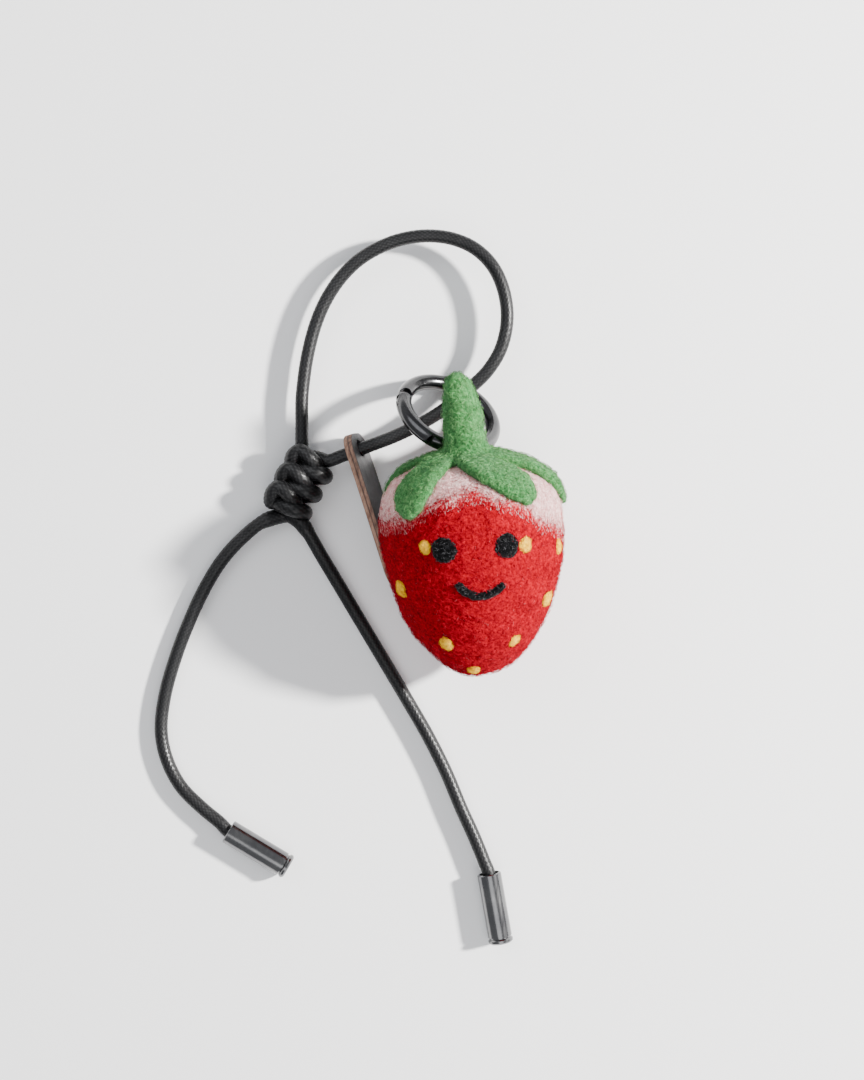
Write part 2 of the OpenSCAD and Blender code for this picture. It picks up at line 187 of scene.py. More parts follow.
# ---------------------------------------------------------------- materials
class Look:
    """A material and short ways to build its nodes."""

    def __init__(self, name, **sockets):
        self.material = bpy.data.materials.new(name)
        self.material.use_nodes = True
        self.nodes = self.material.node_tree.nodes
        self.links = self.material.node_tree.links
        self.shader = self.nodes["Principled BSDF"]
        for key, value in sockets.items():
            self.shader.inputs[key.replace("_", " ")].default_value = value

    def node(self, kind, inputs=(), **settings):
        made = self.nodes.new(kind)
        for key, value in settings.items():
            setattr(made, key, value)
        for key, value in dict(inputs).items():
            socket = made.inputs[key]
            if isinstance(value, bpy.types.NodeSocket):
                self.links.new(value, socket)
            else:
                socket.default_value = value
        return made

    def noise(self, vector, scale, detail=4.0, roughness=0.6, distortion=0.0):
        inputs = {"Vector": vector, "Scale": scale, "Detail": detail, "Roughness": roughness}
        return self.node("ShaderNodeTexNoise", {**inputs, "Distortion": distortion}).outputs["Fac"]

    def stretched(self, vector, scale):
        return self.node("ShaderNodeMapping", {"Vector": vector, "Scale": scale}).outputs["Vector"]

    def ramp(self, value, stops):
        made = self.node("ShaderNodeValToRGB", {"Fac": value})
        ramp = made.color_ramp
        while len(ramp.elements) < len(stops):
            ramp.elements.new(0.5)
        for element, (place, colour) in zip(ramp.elements, stops):
            element.position = place
            element.color = (*colour, 1)
        return made.outputs["Color"]

    def math(self, operation, a, b=0.0, c=0.0):
        return self.node("ShaderNodeMath", {0: a, 1: b, 2: c}, operation=operation).outputs[0]

    def mix(self, fac, a, b):
        made = self.node("ShaderNodeMix", data_type="RGBA")
        for socket, value in ((0, fac), (6, a), (7, b)):
            if isinstance(value, bpy.types.NodeSocket):
                self.links.new(value, made.inputs[socket])
            else:
                made.inputs[socket].default_value = (*value, 1) if socket else value
        return made.outputs[2]

    def between(self, value, low, high):
        made = self.node("ShaderNodeMapRange", {0: value, 1: low, 2: high}, interpolation_type="SMOOTHSTEP")
        return made.outputs[0]

    def set(self, name, value):
        self.links.new(value, self.shader.inputs[name])

    def bump(self, height, strength, distance):
        made = self.node("ShaderNodeBump", {"Strength": strength, "Distance": distance, "Height": height})
        self.set("Normal", made.outputs["Normal"])


def wool_grain(look, place):
    """Tangled short fibres: fine stretched noise laid three ways, over small tufts."""
    fibres = None
    for scale in ((1700, 480, 1700), (480, 1700, 1300), (1300, 1300, 480)):
        one = look.noise(look.stretched(place, scale), 4.0, 2.0, 0.6, 0.4)
        fibres = one if fibres is None else look.math("MAXIMUM", fibres, one)
    tufts = look.noise(place, 1500.0, 4.0, 0.7)
    cloud = look.noise(place, 230.0, 3.0)
    grain = look.math("MULTIPLY_ADD", tufts, 0.5, look.math("MULTIPLY", fibres, 0.42))
    return look.math("MULTIPLY_ADD", cloud, 0.14, grain)


def wool_ramp(look, grain, dark, base, light):
    return look.ramp(grain, [(0.44, dark), (0.56, base), (0.7, light)])


WOOL_RELIEF = 0.0007  # depth of the wool's grain, in metres


def felt(name, dark, base, light):
    look = Look(name, Roughness=0.95, Sheen_Weight=0.06, Sheen_Roughness=0.4, Specular_IOR_Level=0.05)
    place = look.node("ShaderNodeTexCoord").outputs["Object"]
    grain = wool_grain(look, place)
    look.set("Base Color", wool_ramp(look, grain, dark, base, light))
    look.bump(grain, 1.0, WOOL_RELIEF)
    return look.material


def berry_felt():
    """Red felt that turns pink and white in short streaks towards the calyx."""
    look = Look(
        "red_and_pink_felt", Roughness=0.98, Sheen_Weight=0.01, Sheen_Roughness=0.4, Specular_IOR_Level=0.02
    )
    place = look.node("ShaderNodeTexCoord").outputs["Object"]
    grain = wool_grain(look, place)
    red = wool_ramp(look, grain, (0.085, 0.0001, 0.002), (0.32, 0.0002, 0.007), (0.58, 0.001, 0.02))
    pink = wool_ramp(look, grain, (0.38, 0.11, 0.11), (0.72, 0.42, 0.4), (0.95, 0.8, 0.76))
    blush = wool_ramp(look, grain, (0.26, 0.004, 0.01), (0.52, 0.04, 0.055), (0.8, 0.26, 0.26))
    amount = look.node("ShaderNodeAttribute", attribute_name="pink").outputs["Fac"]
    uv = look.node("ShaderNodeTexCoord").outputs["UV"]
    streaks = look.noise(look.stretched(uv, (420, 90, 1)), 1.0, 2.0, 0.6, 0.6)
    stipple = look.noise(place, 2400.0, 2.0, 0.6)
    cloud = look.noise(place, 330.0, 3.0, 0.6)
    mixed = look.math("MULTIPLY_ADD", streaks, 0.5, look.math("MULTIPLY", stipple, 0.75))
    shift = look.math("MULTIPLY_ADD", cloud, 0.35, mixed)
    reach = look.math("ADD", amount, look.math("SUBTRACT", shift, 0.8))
    colour = look.mix(look.between(reach, 0.34, 0.46), red, blush)
    colour = look.mix(look.between(reach, 0.46, 0.62), colour, pink)
    look.set("Base Color", colour)
    look.bump(grain, 1.0, WOOL_RELIEF)
    return look.material


def wool_strands(name, dark, light, start=0.15):
    """Loose fibres, each with a tone of its own; only tones over start leave the dark one."""
    look = Look(name, Roughness=0.9, Specular_IOR_Level=0.06)
    place = look.node("ShaderNodeTexCoord").outputs["Object"]
    tone = look.node("ShaderNodeAttribute", attribute_name="tone").outputs["Fac"]
    mottle = look.noise(place, 1600.0, 3.0)
    mixed = look.math("MULTIPLY_ADD", mottle, 0.3, look.math("MULTIPLY", tone, 0.7))
    look.set("Base Color", look.ramp(mixed, [(start, dark), (0.85, light)]))
    look.bump(look.noise(place, 5000.0, 2.0), 0.3, 0.0001)
    return look.material


def gunmetal(name, dark, light):
    look = Look(name, Metallic=1.0, Roughness=0.2, Coat_Weight=0.2, Coat_Roughness=0.12)
    place = look.node("ShaderNodeTexCoord").outputs["Object"]
    cloud = look.noise(place, 160.0, 5.0)
    scratches = look.noise(look.stretched(place, (2600, 260, 900)), 1.0, 3.0)
    look.set("Base Color", look.ramp(cloud, [(0.3, dark), (0.7, light)]))
    rough = look.math("MULTIPLY_ADD", scratches, 0.16, 0.13)
    look.set("Roughness", rough)
    look.bump(scratches, 0.06, 0.00005)
    return look.material


def wire_steel():
    look = Look("wire_steel", Metallic=1.0)
    place = look.node("ShaderNodeTexCoord").outputs["Object"]
    grain = look.noise(look.stretched(place, (300, 2400, 300)), 1.0, 3.0)
    look.set("Base Color", look.ramp(grain, [(0.3, (0.28, 0.28, 0.29)), (0.7, (0.5, 0.5, 0.5))]))
    look.set("Roughness", look.math("MULTIPLY_ADD", grain, 0.2, 0.2))
    return look.material


# Colours of the braid from gap to strand top: the dark gaps are painted shade between the strands, and the
# strand tops are lighter
BRAID_GAP_SHADE_TONES = [(0.2, (0.001, 0.001, 0.0012)), (0.62, (0.0035, 0.0035, 0.004)), (0.95, (0.022, 0.022, 0.023))]


def waxed_braid():
    """Dark waxed yarn: the braid itself is in the mesh, and the threads within each strand are here."""
    look = Look("waxed_braid", Coat_Weight=0.15, Coat_Roughness=0.2, Specular_IOR_Level=0.22)
    place = look.node("ShaderNodeTexCoord").outputs["Object"]
    height = look.node("ShaderNodeAttribute", attribute_name="braid").outputs["Fac"]
    threads = look.noise(place, 5200.0, 3.0, 0.6)
    cloud = look.noise(place, 240.0, 4.0)
    # The colour follows the braid's height: painted shade in the gaps between strands, on top of the cloud's
    # real tone variation
    tone = look.math("MULTIPLY_ADD", cloud, 0.35, look.math("MULTIPLY", height, 0.7))
    look.set("Base Color", look.ramp(tone, BRAID_GAP_SHADE_TONES))
    look.set("Roughness", look.math("MULTIPLY_ADD", threads, 0.25, 0.3))
    look.bump(threads, 0.35, 0.00012)
    return look.material


def leather(name, dark, light, edge_dark, edge_light):
    """Smooth leather with pores on its face; its raw edge is fibrous."""
    look = Look(name, Specular_IOR_Level=0.4)
    place = look.node("ShaderNodeTexCoord").outputs["Object"]
    edge = look.node("ShaderNodeAttribute", attribute_name="edge").outputs["Fac"]
    pores = look.node("ShaderNodeTexVoronoi", {"Vector": place, "Scale": 2300.0}).outputs["Distance"]
    cloud = look.noise(place, 300.0, 5.0)
    fibre = look.noise(look.stretched(place, (900, 300, 2600)), 1.0, 4.0, 0.7)
    face = look.ramp(cloud, [(0.3, dark), (0.7, light)])
    raw = look.ramp(fibre, [(0.3, edge_dark), (0.68, edge_light)])
    look.set("Base Color", look.mix(edge, face, raw))
    look.set("Roughness", look.math("MULTIPLY_ADD", edge, 0.35, 0.45))
    height = look.math("MULTIPLY_ADD", fibre, 0.6, pores)
    look.bump(height, 0.4, 0.00012)
    return look.material


RED_FELT = berry_felt()
GREEN_FELT = felt("green_felt", (0.01, 0.055, 0.014), (0.045, 0.175, 0.05), (0.14, 0.36, 0.12))
BLACK_FELT = felt("black_felt", (0.0005, 0.0005, 0.0006), (0.002, 0.002, 0.0023), (0.01, 0.01, 0.012))
YELLOW_FELT = felt("yellow_felt", (0.62, 0.27, 0.003), (0.92, 0.53, 0.012), (1.0, 0.75, 0.08))
PLAIN_WOOL = felt("plain_wool", (0.5, 0.44, 0.34), (0.7, 0.64, 0.52), (0.85, 0.8, 0.7))
RED_STRANDS = wool_strands("red_strands", (0.11, 0.0001, 0.003), (0.56, 0.002, 0.022))
PINK_STRANDS = wool_strands("pink_strands", (0.55, 0.16, 0.16), (0.97, 0.86, 0.82))
ROSE_STRANDS = wool_strands("rose_strands", (0.5, 0.02, 0.03), (0.8, 0.24, 0.24))
GREEN_STRANDS = wool_strands("green_strands", (0.012, 0.06, 0.014), (0.2, 0.42, 0.16))
# Black fuzz for the eyes and smile: the fibres that turn grey are painted highlights on the fuzz
BLACK_STRANDS_WITH_PAINTED_GLINTS = wool_strands("black_strands_with_painted_glints", (0.002, 0.002, 0.0025), (0.16, 0.16, 0.17), 0.55)
YELLOW_STRANDS = wool_strands("yellow_strands", (0.7, 0.33, 0.004), (0.98, 0.66, 0.04))
BLACK_GUNMETAL = gunmetal("black_gunmetal", (0.045, 0.045, 0.049), (0.1, 0.1, 0.1))
GUNMETAL = gunmetal("gunmetal", (0.11, 0.11, 0.117), (0.19, 0.19, 0.19))
WIRE_STEEL = wire_steel()
BRAID = waxed_braid()
DARK_LEATHER = leather(
    "dark_leather", (0.012, 0.011, 0.012), (0.05, 0.048, 0.05), (0.07, 0.04, 0.03), (0.36, 0.21, 0.15)
)
BROWN_LEATHER = leather(
    "brown_leather", (0.09, 0.05, 0.036), (0.19, 0.115, 0.085), (0.12, 0.06, 0.04), (0.46, 0.28, 0.2)
)

# ---------------------------------------------------------------- cord
CORD_D = 3.0
CORD_STEP = 0.24
CORD_SIDES = 48
BRAID_STRANDS = 12
BRAID_PITCH = 1.15
BRAID_UNDER, BRAID_RISE = 0.55, 0.45  # a strand's height where it passes under, and its rise from there
BRAID_GROOVE, BRAID_RELIEF = 0.1, 0.13  # how deep the gaps lie, and how far the strands stand out of them
LOOP_ROUTE = [
    (-34.7, 15.8, 4.5), (-34.6, 21.5, 4.4), (-34.6, 28.3, 4.4), (-34.1, 33.5, 4.4), (-33.2, 39, 4.5),
    (-31.5, 45.4, 4.6), (-29.2, 50.8, 4.8), (-25.9, 55.8, 5.1), (-21.9, 59.8, 5.4), (-17.1, 62.7, 5.9),
    (-11.8, 64.6, 6.3), (-6, 65.3, 6.6), (-0.3, 64.6, 6.7), (4.7, 62.4, 6.7), (8.6, 58.6, 6.7),
    (11.1, 53.3, 6.6), (12, 46.7, 6.5), (10.7, 40.1, 6.3), (7.5, 34.7, 6.2), (2.5, 30, 6.1),
    (-2.7, 25.8, 6), (-7.7, 22.8, 5.8), (-13.8, 19.9, 5.6), (-20.2, 17.5, 5.5), (-25.2, 15.7, 5.2),
    (-28.7, 14.5, 4.8),
]
TAIL_LEFT_ROUTE = [
    (-43.5, 0.7, 3.4), (-48.2, -2.9, 2.8), (-53, -8.1, 2.3), (-57.2, -14.9, 2),
    (-60.6, -22.2, 1.8), (-63.7, -30.4, 1.8), (-66.2, -39.4, 1.8), (-67, -47.2, 1.8), (-65.7, -53.7, 1.9),
    (-62.4, -59.9, 2.2), (-57.2, -65, 2.6), (-53.4, -68.1, 2.8),
]
TAIL_RIGHT_ROUTE = [
    (-34.8, 0.4, 4.2), (-29.6, -8.1, 3.6), (-22.6, -19.9, 3.1), (-15.7, -31.5, 2.8),
    (-10.5, -40.3, 2.6), (-5.9, -48.3, 2.6), (-1.8, -56.5, 2.6), (1.6, -64.6, 2.7), (4.6, -71.2, 2.8),
    (7, -77.1, 2.9),
]
CAP_LEFT = (Vector((-51.5, -70, 2.9)), -31)
CAP_RIGHT = (Vector((8, -79.6, 2.9)), -80)
CORD_END = 4.2  # how far the cord runs into a cap

# The snake knot: pair after pair of interlocked turns, from the loop down to the tails
KNOT_PAIR_AT = Vector((-33.3, 13.6, 4.75))
KNOT_STEP = Vector((-2.33, -4.17, 0))
KNOT_PAIRS = 3
KNOT_REACH = 10.5
KNOT_SWELL = 1.2  # the cord lies wider where the knot presses it
KNOT_EASE = 2  # over this length the cord comes back to its own width
LEFT_TURN = [
    (-3.5, 0.0, 0.0), (-3.0, 2.0, 1.9), (-1.5, 3.1, 2.7), (0.6, 1.6, 2.9), (1.9, -0.2, 1.6),
    (1.4, -1.6, -0.8), (-0.4, -2.3, -2.6), (-3.0, -2.6, -2.7), (-5.0, -3.0, -1.7),
]
RIGHT_TURN = [
    (-1.9, -0.3, 0.2), (0.2, -1.3, 1.9), (2.2, -2.0, 2.3), (3.7, -2.3, 1.0), (3.9, -2.7, -1.2),
    (2.3, -2.7, -2.7), (0.0, -2.9, -2.7), (-2.3, -3.6, -1.6),
]
INTO_KNOT = [(2.6, 1.5, -0.5), (-0.4, 1.6, -2.4), (-2.9, 0.5, -1.9)]


def knot_turns(turn):
    points = []
    for pair in range(KNOT_PAIRS):
        corner = KNOT_PAIR_AT + KNOT_STEP * pair
        points += [corner + Vector(p) for p in turn]
    return points


def along_cap(cap, distance):
    at, turn = cap
    angle = math.radians(turn)
    return at + Vector((math.cos(angle), math.sin(angle), 0)) * distance


def cord_route():
    """The whole cord: left cap, left tail, knot, loop, knot again, right tail, right cap."""
    left_tail = [along_cap(CAP_LEFT, CORD_END), CAP_LEFT[0]] + [Vector(p) for p in reversed(TAIL_LEFT_ROUTE)]
    right_tail = [Vector(p) for p in TAIL_RIGHT_ROUTE] + [CAP_RIGHT[0], along_cap(CAP_RIGHT, CORD_END)]
    up = list(reversed(knot_turns(RIGHT_TURN)))[1:]
    down = knot_turns(LEFT_TURN)[:-2]
    loop = [Vector(p) for p in LOOP_ROUTE]
    into_knot = [KNOT_PAIR_AT + Vector(p) for p in INTO_KNOT]
    return [p - SHIFT for p in left_tail + up + loop + into_knot + down + right_tail]


def braid_height(along, angle):
    """A round braid's surface, where strands cross over and under: 0 in the gaps, 1 on top of a strand."""
    a = BRAID_STRANDS * angle / (2 * math.pi)
    b = along / BRAID_PITCH
    x, y = a + b, a - b
    fx, fy = x % 1, y % 1
    if (math.floor(x) + math.floor(y)) % 2:
        fx, fy = fy, fx
    across = math.sqrt(max(0, 1 - (2 * fx - 1) ** 2))
    return across * (BRAID_UNDER + BRAID_RISE * math.sin(math.pi * fy))


def make_cord():
    path = through(cord_route(), CORD_STEP)
    knot_middle = KNOT_PAIR_AT + KNOT_STEP * (KNOT_PAIRS / 2) - SHIFT
    heights = []

    def radius(i, angle):
        height = braid_height(i * CORD_STEP, angle)
        heights.append(height)
        near = max(0, min(1, (KNOT_REACH - (path[i] - knot_middle).length) / KNOT_EASE))
        return (CORD_D / 2 - BRAID_GROOVE + BRAID_RELIEF * height) * (1 + (KNOT_SWELL - 1) * near)

    points, faces = tube(path, CORD_SIDES, radius)
    cord = new_piece("braided_cord", points, faces, BRAID)
    # The braid heights also steer the cord's colour: painted shade in the gaps between strands
    add_weight(cord, "braid", heights)
    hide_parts("cord_loop", "cord_knot", "cord_tail_left", "cord_tail_right")
    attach(cord, "cord")


make_cord()

# ---------------------------------------------------------------- room for the ring
# The ring's centre, lean and centre line, as in the CAD
RING_AT = placed(-1.3, 24.6, 10.3)
RING_TURN = Matrix.Rotation(math.radians(-28), 3, "Z") @ Matrix.Rotation(math.radians(-50), 3, "X")
RING_R = 10.7
WIRE_R = 1.75
RING_ROOM = WIRE_R + 0.3  # what the felt leaves free around the ring's centre line
RING_REACH = 16  # no felt further than this from the screw eye comes near the ring

SWING = next(joint for joint in frame["joints"] if joint["name"] == "berry_swing")
SWING_AT = Vector(SWING["pos_m"]) / MM
SWING_AXIS = Vector(SWING["axis"])
SWING_LOW, SWING_HIGH = SWING["range_deg"]
SWING_STEPS = 8
SWING_TURNS = [
    Matrix.Rotation(math.radians(SWING_LOW + (SWING_HIGH - SWING_LOW) * k / SWING_STEPS), 3, SWING_AXIS)
    for k in range(SWING_STEPS + 1)
]
NUDGE, MOST_NUDGES = 0.15, 40


def from_ring(point):
    """The way out of the ring's centre line to the point, in the ring's own frame."""
    local = RING_TURN.transposed() @ (point - RING_AT)
    return local - Vector((local.x, local.y, 0)).normalized() * RING_R


def ring_distance(point):
    return from_ring(point).length


def nearest_ring(point):
    """The way out to the point from the nearest place that the ring takes over the berry's swing."""
    ways = []
    for turn in SWING_TURNS:
        way = from_ring(SWING_AT + turn @ (point - SWING_AT))
        ways.append((way.length, turn.transposed() @ (RING_TURN @ way)))
    return min(ways, key=lambda way: way[0])


def clear_of_ring(point):
    """The point, moved in small steps until it is out of the ring's way over the whole swing."""
    if (point - SWING_AT).length > RING_REACH:
        return point
    for _ in range(MOST_NUDGES):
        distance, way = nearest_ring(point)
        if distance >= RING_ROOM:
            break
        point = point + way.normalized() * min(NUDGE, RING_ROOM - distance + 0.01)
    return point


def in_ring_way(point):
    return (point - SWING_AT).length < RING_REACH and nearest_ring(point)[0] < RING_ROOM


# ---------------------------------------------------------------- berry
BERRY_AT = placed(3.6, -1.7, 20.35)
BERRY_YAW, BERRY_TILT = 3.5, 12  # it lies on its back, with its stem 12 degrees up
BERRY_TURN = (
    Matrix.Rotation(math.radians(BERRY_YAW), 3, "Z") @ Matrix.Rotation(math.radians(BERRY_TILT - 90), 3, "X")
)
BERRY_R = 19.9
BELOW, ABOVE = 32, 16.5
POWER_BELOW, POWER_ABOVE = 1.7, 3


def radius_at(height):
    share, power = (-height / BELOW, POWER_BELOW) if height < 0 else (height / ABOVE, POWER_ABOVE)
    return BERRY_R * math.sqrt(max(0, 1 - min(share, 1) ** power))


def outline(turn):
    """Radius and height on the outline: turn runs from -90 degrees at the tip to 90 at the calyx."""
    t = math.radians(abs(turn))
    if turn < 0:
        return BERRY_R * math.cos(t), -BELOW * math.sin(t) ** (2 / POWER_BELOW)
    return BERRY_R * math.cos(t), ABOVE * math.sin(t) ** (2 / POWER_ABOVE)


def berry_point(radius, angle, height):
    """A point from its distance to the axis, its angle from the face in degrees, and its height."""
    a = math.radians(angle)
    local = Vector((radius * math.sin(a), -radius * math.cos(a), height))
    return BERRY_AT + BERRY_TURN @ local


def berry_place(angle, height, lift=0.0):
    """A frame on the berry's side: origin, across, towards the stem and outwards."""
    eps = 0.05
    here = berry_point(radius_at(height), angle, height)
    above = berry_point(radius_at(height + eps), angle, height + eps)
    beside = berry_point(radius_at(height), angle + 0.2, height)
    up = (above - here).normalized()
    across = (beside - here).normalized()
    out = across.cross(up).normalized()
    if out.dot(here - BERRY_AT) < 0:
        out = -out
    return here + out * lift, across, up, out


# Angle about the axis and height of the pink wool's lower edge
PINK_EDGE = [
    (-180, 4), (-120, 3), (-75, 4), (-49, 5.5), (-21.8, 9.8), (1.9, 11.6), (26, 8.8), (53.5, 3), (75, 0),
    (90, 1), (130, 3), (180, 4),
]
PINK_BLEND = 8.0  # height over which the red turns pink


def pink_edge(angle):
    angle = (angle + 180) % 360 - 180
    (a, start), (b, end) = next(pair for pair in zip(PINK_EDGE, PINK_EDGE[1:]) if angle <= pair[1][0])
    share = (angle - a) / (b - a)
    share = share * share * (3 - 2 * share)
    return start + (end - start) * share


FLOOR_GAP = 0.06


def above_floor(point):
    """The point, lifted to just above the surface that the charm lies on."""
    return Vector((point.x, point.y, max(point.z, FLOOR_GAP)))


def lumps(point, size, amount, seed=0.0):
    return amount * noise.noise(Vector(point) / size + Vector((seed, seed * 1.7, -seed)))


# Size, amount and seed of each layer of lumps
BERRY_LUMPS = [(9, 0.45, 3), (3.2, 0.2, 7), (1.1, 0.08, 11), (0.55, 0.06, 5)]
CALYX_LUMPS = [(4, 0.35, 13), (1.4, 0.2, 17), (0.6, 0.12, 19)]
SIDE_LOW, SIDE_HIGH = -31.5, 16.2  # beyond these heights the side turns in too fast to give a direction


def layered(point, layers):
    return sum(lumps(point, *layer) for layer in layers)


def make_berry():
    around, rows = 288, 190
    points, uvs, pinks = [], [], []
    for j in range(1, rows):
        turn = -90 + 180 * j / rows
        radius, height = outline(turn)
        for i in range(around):
            angle = 360 * i / around - 180
            p = berry_point(radius, angle, height)
            out = berry_place(angle, max(SIDE_LOW, min(SIDE_HIGH, height)))[3]
            points.append(clear_of_ring(above_floor(p + out * layered(p, BERRY_LUMPS))))
            uvs.append((i / around, height / 50))
            amount = 0.5 + (height - pink_edge(angle)) / PINK_BLEND
            pinks.append(max(0, min(1, amount)))
    faces = ring_faces(around, rows - 1)
    for end, height, pink in ((0, -BELOW, 0), (rows - 2, ABOVE, 1)):
        centre = len(points)
        points.append(berry_point(0, 0, height))
        uvs.append((0, height / 50))
        pinks.append(pink)
        for i in range(around):
            a, b = end * around + i, end * around + (i + 1) % around
            faces.append((b, a, centre) if end == 0 else (a, b, centre))
    berry = new_piece("felt_berry", points, faces, RED_FELT)
    add_uv(berry, uvs)
    add_weight(berry, "pink", pinks)
    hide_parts("red_felt_body", "pink_felt_cap")
    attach(berry, "berry")
    return berry


def blob(place, width, height, thick, seed, rough, segments=28, rows=16):
    """A closed felt dot on the berry's side, ragged at its edge."""
    origin, across, up, out = place
    points = [origin - out * thick]
    for j in range(1, rows):
        t = math.pi * j / rows - math.pi / 2
        for i in range(segments):
            a = 2 * math.pi * i / segments
            x = math.cos(t) * math.cos(a) * width / 2
            y = math.cos(t) * math.sin(a) * height / 2
            z = math.sin(t) * thick
            p = origin + across * x + up * y + out * z
            ragged = 1 + lumps(p, 1.3, rough * 1.6, seed) + lumps(p, 0.5, rough, seed + 4)
            high = z + lumps(p, 0.6, 0.12, seed)
            points.append(origin + across * x * ragged + up * y * ragged + out * high)
    points.append(origin + out * thick)
    return points, spindle_faces(segments, rows - 1)


def joined(parts):
    points, faces = [], []
    for some_points, some_faces in parts:
        start = len(points)
        points += some_points
        faces += [tuple(start + i for i in face) for face in some_faces]
    return points, faces


def felt_piece(name, parts, material, replaced):
    """Felt on the berry, in place of one CAD node."""
    points, faces = joined(parts)
    piece = new_piece(name, points, faces, material)
    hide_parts(replaced)
    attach(piece, "berry")
    return piece


EYE_MIDDLE, EYE_ANGLE, EYE_HEIGHT, EYE_R = 0.6, 19.2, 0.4, 2.75
SMILE = [(-11.4, -6.6), (-9.6, -8.0), (-5.5, -9.2), (0.5, -9.9), (7, -9.7), (13.5, -8.8), (17.6, -7.5)]
SMILE_R = 0.95
# Where each seed is, as angle and height, then its width and its length
FRONT_SEEDS = [
    (-31, 0.9, 2.8, 2.9), (32.5, 0.2, 3.3, 3.7), (-59, -9.6, 3.3, 3.9), (62, -14, 3.6, 4.0),
    (-30, -21.7, 3.2, 3.7), (33, -21.8, 3.1, 3.3), (-10, -29, 3.0, 3.2), (67, -2.9, 2.8, 3.3),
]
BACK_SEEDS = [
    (115, -8, 3, 3.6), (150, 2, 3, 3.4), (184, 7, 3, 3.2), (-130, 3, 3.1, 3.4), (-98, -19, 3, 3.6),
    (105, -21, 3, 3.5), (-140, -14, 3.1, 3.6), (160, -18, 3, 3.4), (-172, -25, 3, 3.2),
]


def make_face():
    pieces = []
    for name, angle, seed in (("left", EYE_MIDDLE - EYE_ANGLE, 21), ("right", EYE_MIDDLE + EYE_ANGLE, 37)):
        place = berry_place(angle, EYE_HEIGHT, -0.25)
        eye = blob(place, 2 * EYE_R, 2 * EYE_R, 1.15, seed, 0.05, 44, 24)
        pieces.append(felt_piece("felt_eye_" + name, [eye], BLACK_FELT, "eye_" + name))
    line = through([berry_place(a, h, -0.1)[0] for a, h in SMILE], 0.22)

    def radius(i, angle):
        share = i / (len(line) - 1)
        ends = min(1, 0.25 + (min(share, 1 - share) * 16) ** 0.5)
        p = line[i] + Vector((math.cos(angle), math.sin(angle), 0))
        return SMILE_R * ends * (1 + lumps(p, 0.9, 0.22, 9) + lumps(p, 0.4, 0.14, 2))

    pieces.append(felt_piece("felt_smile", [tube(line, 24, radius)], BLACK_FELT, "smile"))
    return pieces


def make_seeds():
    pieces = []
    for name, seeds in (("seeds_front", FRONT_SEEDS), ("seeds_back", BACK_SEEDS)):
        parts = []
        for k, (angle, height, width, tall) in enumerate(seeds):
            parts.append(blob(berry_place(angle, height, -0.2), width, tall, 0.8, 50 + 3 * k, 0.14))
        pieces.append(felt_piece("felt_" + name, parts, YELLOW_FELT, name))
    return pieces


# ---------------------------------------------------------------- calyx and stem
# Each leaf from root to tip: angles and widths at the root, middle and tip, then the height of its tip
LEAVES = [
    ((-50, -48, -43), (6, 9.8, 8.4), 5.6),
    ((10, 29, 38), (8, 10.6, 8.6), 7.2),
    ((80, 90, 94), (7.5, 10, 9.5), 4.2),
    ((140, 144, 146), (7, 9, 9), 5),
    ((-112, -118, -121), (6, 7.2, 7.2), 3),
]
LEAF_THICK = 2.5
LEAF_NUB_R = 2.3  # a leaf is a field of flat balls of this radius
LEAF_ROOT_TURN = 74
LEAF_STEPS = 15
LEAF_TIP_FROM, LEAF_TIP_SHARE = 0.72, 0.28  # where along its length a leaf starts to round off, and the rest
LEAF_SINK = 0.55


def bent(values, share):
    """The quadratic through three values at shares 0, 0.5 and 1."""
    root, middle, tip = values
    from_root = root * (1 - share) * (1 - 2 * share)
    return from_root + middle * 4 * share * (1 - share) + tip * share * (2 * share - 1)


def leaf_balls(leaf):
    """Flat balls over a leaf's area, kept off the ring."""
    angles, widths, tip_height = leaf
    tip_turn = [t for t in range(88, -30, -1) if outline(t)[1] > tip_height + LEAF_NUB_R][-1]
    balls = []
    for j in range(LEAF_STEPS + 1):
        share = j / LEAF_STEPS
        turn = LEAF_ROOT_TURN + (tip_turn - LEAF_ROOT_TURN) * share
        radius, height = outline(turn)
        half = bent(widths, share) / 2 - LEAF_NUB_R
        if share > LEAF_TIP_FROM:
            half *= math.sqrt(max(0, 1 - ((share - LEAF_TIP_FROM) / LEAF_TIP_SHARE) ** 2.2))
        count = max(1, math.ceil(half / 1.1))
        for k in range(-count, count + 1):
            angle = bent(angles, share) + math.degrees(half * k / count / max(radius, 4))
            place = berry_place(angle, height, LEAF_THICK / 2 - LEAF_SINK)
            if ring_distance(place[0]) > WIRE_R + LEAF_THICK / 2 + 0.35:
                balls.append(ball(place, LEAF_NUB_R, LEAF_THICK / 2))
    return balls


def ball(place, across_r, thick_r, segments=12, rows=8):
    origin, across, up, out = place
    points = [origin - out * thick_r]
    for j in range(1, rows):
        t = math.pi * j / rows - math.pi / 2
        for i in range(segments):
            a = 2 * math.pi * i / segments
            flat = across * math.cos(a) + up * math.sin(a)
            points.append(origin + flat * (math.cos(t) * across_r) + out * (math.sin(t) * thick_r))
    points.append(origin + out * thick_r)
    return points, spindle_faces(segments, rows - 1)


def stem_balls():
    """Balls up the stem: wide at its foot, bent a little to the left, round at its tip."""
    out = []
    count = 34
    for k in range(count):
        share = k / (count - 1)
        height = ABOVE - 1.5 + share * 17.3
        radius = 4.35 + 1.9 * max(0, 1 - share * 3.2) ** 2 - 1.5 * max(0, (share - 0.5) * 2) ** 2
        lean = -0.2 * share - 1.1 * share * share
        centre = BERRY_AT + BERRY_TURN @ Vector((lean, -0.2 - 0.2 * share, height))
        axes = (centre, Vector((1, 0, 0)), Vector((0, 1, 0)), Vector((0, 0, 1)))
        out.append(ball(axes, radius, radius, 24, 16))
    return out


